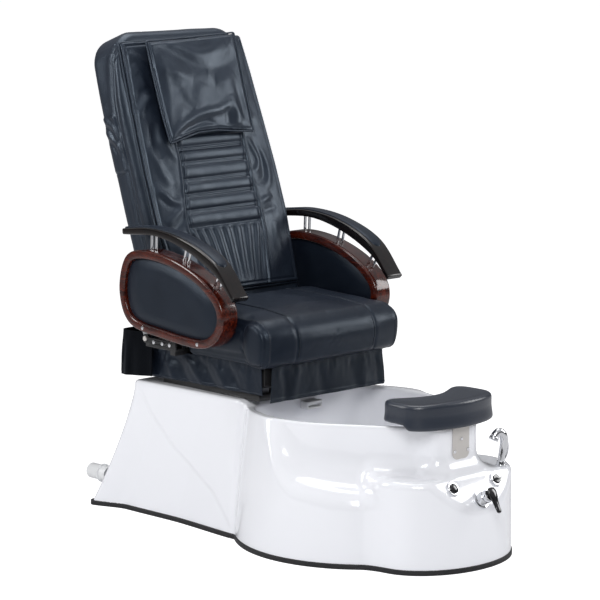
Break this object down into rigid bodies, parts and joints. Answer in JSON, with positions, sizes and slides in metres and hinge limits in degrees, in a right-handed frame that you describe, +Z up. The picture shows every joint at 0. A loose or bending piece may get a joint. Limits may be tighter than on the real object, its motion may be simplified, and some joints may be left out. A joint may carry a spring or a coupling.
{
  "type": "pedicure spa chair",
  "caption": "Reclining leather massage armchair with lifting wooden arms, on a moulded white foot-bath tub with a footrest, mixer tap and hand shower.",
  "frame": {"origin": "on the floor, on the centre plane, under the middle of the tub, on the underside of the steel base frame", "axes": "+Z up; the foot bath and its controls face -Y; +X is the sitter's left and the narrowest direction"},
  "size_m": [0.744, 1.5164, 1.4553],
  "materials": {
    "gelcoat": "high gloss",
    "basin_gelcoat": "high gloss",
    "black_rubber": "matt",
    "zinc_steel": "satin",
    "black_steel": "satin powder coat",
    "stainless": "brushed",
    "chrome": "polished",
    "white_pvc": "satin",
    "black_plastic": "gloss",
    "foot_foam": "satin integral skin",
    "black_leather": "semi-gloss, fine grain",
    "mahogany": "gloss lacquer",
    "ebony_lacquer": "gloss lacquer",
    "roller_rubber": "matt"
  },
  "bodies": {
    "base": {"base_shell": "gelcoat", "basin": "basin_gelcoat", "rubber_trim": "black_rubber", "base_frame": "zinc_steel", "drain_pipe": "white_pvc", "drain_body": "chrome", "jet_nozzles": "chrome", "waterfall_spout": "chrome", "footrest_bracket": "stainless", "bracket_screws": "chrome", "footrest_guide": "zinc_steel", "knob_bezels": "chrome", "mixer_base": "chrome", "shower_holder": "chrome", "pump_housing": "black_plastic", "control_box": "black_plastic", "seat_mount_frame": "black_steel", "slide_rails": "zinc_steel", "slide_actuator_tube": "zinc_steel"},
    "drain_plug": {"drain_plug": "chrome"},
    "air_button": {"air_button": "black_plastic"},
    "drain_knob": {"drain_knob": "black_plastic"},
    "mixer_cap": {"mixer_cap": "chrome"},
    "mixer_lever": {"mixer_lever": "black_plastic"},
    "handshower": {"handshower": "chrome", "shower_hose": "chrome"},
    "impeller": {"pump_impeller": "black_plastic"},
    "footrest": {"footrest_pad": "foot_foam", "footrest_post": "zinc_steel"},
    "seat": {"slide_carriages": "zinc_steel", "slide_actuator_rod": "zinc_steel", "seat_frame": "black_steel", "seat_cushion": "black_leather", "front_skirt": "black_leather", "side_skirts": "black_leather", "rear_skirt": "black_leather", "recline_actuator_tube": "zinc_steel", "pivot_pins": "zinc_steel", "arm_brackets": "black_steel", "bracket_bolts": "chrome"},
    "recline_rod": {"recline_actuator_rod": "zinc_steel"},
    "back": {"back_frame": "black_steel", "back_shell": "black_leather", "back_cushion": "black_leather", "back_flap": "black_leather", "head_pillow": "black_leather"},
    "massage_carriage": {"massage_carriage": "black_steel"},
    "massage_rollers": {"massage_rollers": "roller_rubber"},
    "arm_left": {"arm_frame_left": "mahogany", "arm_pads_left": "black_leather", "arm_rail_left": "ebony_lacquer", "arm_rail_pad_left": "black_leather", "arm_posts_left": "chrome", "arm_hinge_left": "black_steel"},
    "arm_right": {"arm_frame_right": "mahogany", "arm_pads_right": "black_leather", "arm_rail_right": "ebony_lacquer", "arm_rail_pad_right": "black_leather", "arm_posts_right": "chrome", "arm_hinge_right": "black_steel"}
  },
  "joints": [
    {"name": "seat_slide", "type": "slide", "parent": "base", "child": "seat", "axis": [0, -1, 0], "range_m": [-0.035, 0.06]},
    {"name": "recline", "type": "hinge", "parent": "seat", "child": "back", "pos_m": [0, 0.36, 0.54], "axis": [-1, 0, 0], "range_deg": [0, 30]},
    {"name": "recline_drive", "type": "slide", "parent": "seat", "child": "recline_rod", "axis": [0, -1, 0], "range_m": [0, 0.0276]},
    {"name": "arm_left_lift", "type": "hinge", "parent": "seat", "child": "arm_left", "pos_m": [0.308, 0.4, 0.558], "axis": [-1, 0, 0], "range_deg": [0, 50]},
    {"name": "arm_right_lift", "type": "hinge", "parent": "seat", "child": "arm_right", "pos_m": [-0.308, 0.4, 0.558], "axis": [-1, 0, 0], "range_deg": [0, 50]},
    {"name": "massage_travel", "type": "slide", "parent": "back", "child": "massage_carriage", "axis": [0, 0.3338, 0.9426], "range_m": [-0.21, 0.21]},
    {"name": "massage_knead", "type": "hinge", "parent": "massage_carriage", "child": "massage_rollers", "pos_m": [0, 0.50571, 0.97847], "axis": [1, 0, 0], "continuous": true},
    {"name": "footrest_height", "type": "slide", "parent": "base", "child": "footrest", "axis": [0, 0, 1], "range_m": [0, 0.08]},
    {"name": "air_button_press", "type": "slide", "parent": "base", "child": "air_button", "axis": [0, 0.8572, -0.515], "range_m": [0, 0.004]},
    {"name": "drain_knob_turn", "type": "hinge", "parent": "base", "child": "drain_knob", "pos_m": [0.089, -0.63906, 0.235], "axis": [0, -0.8572, 0.515], "range_deg": [0, 90.2]},
    {"name": "plug_lift", "type": "slide", "parent": "base", "child": "drain_plug", "axis": [0, 0, 1], "range_m": [0, 0.01]},
    {"name": "mixer_turn", "type": "hinge", "parent": "base", "child": "mixer_cap", "pos_m": [0, -0.66309, 0.195], "axis": [0, -0.8572, 0.515], "range_deg": [-45, 45]},
    {"name": "mixer_lift", "type": "hinge", "parent": "mixer_cap", "child": "mixer_lever", "pos_m": [0, -0.69695, 0.21534], "axis": [-1, 0, 0], "range_deg": [0, 15]},
    {"name": "shower_pull", "type": "slide", "parent": "base", "child": "handshower", "axis": [0, 0, 1], "range_m": [0, 0.18]},
    {"name": "impeller_spin", "type": "hinge", "parent": "base", "child": "impeller", "pos_m": [0.09, 0.3, 0.11], "axis": [0, 1, 0], "continuous": true}
  ],
  "couplings": [
    {"joint": "recline_drive", "follows": "recline", "m_per_rad": 0.052521},
    {"joint": "drain_knob_turn", "follows": "plug_lift", "rad_per_m": 157.08}
  ]
}
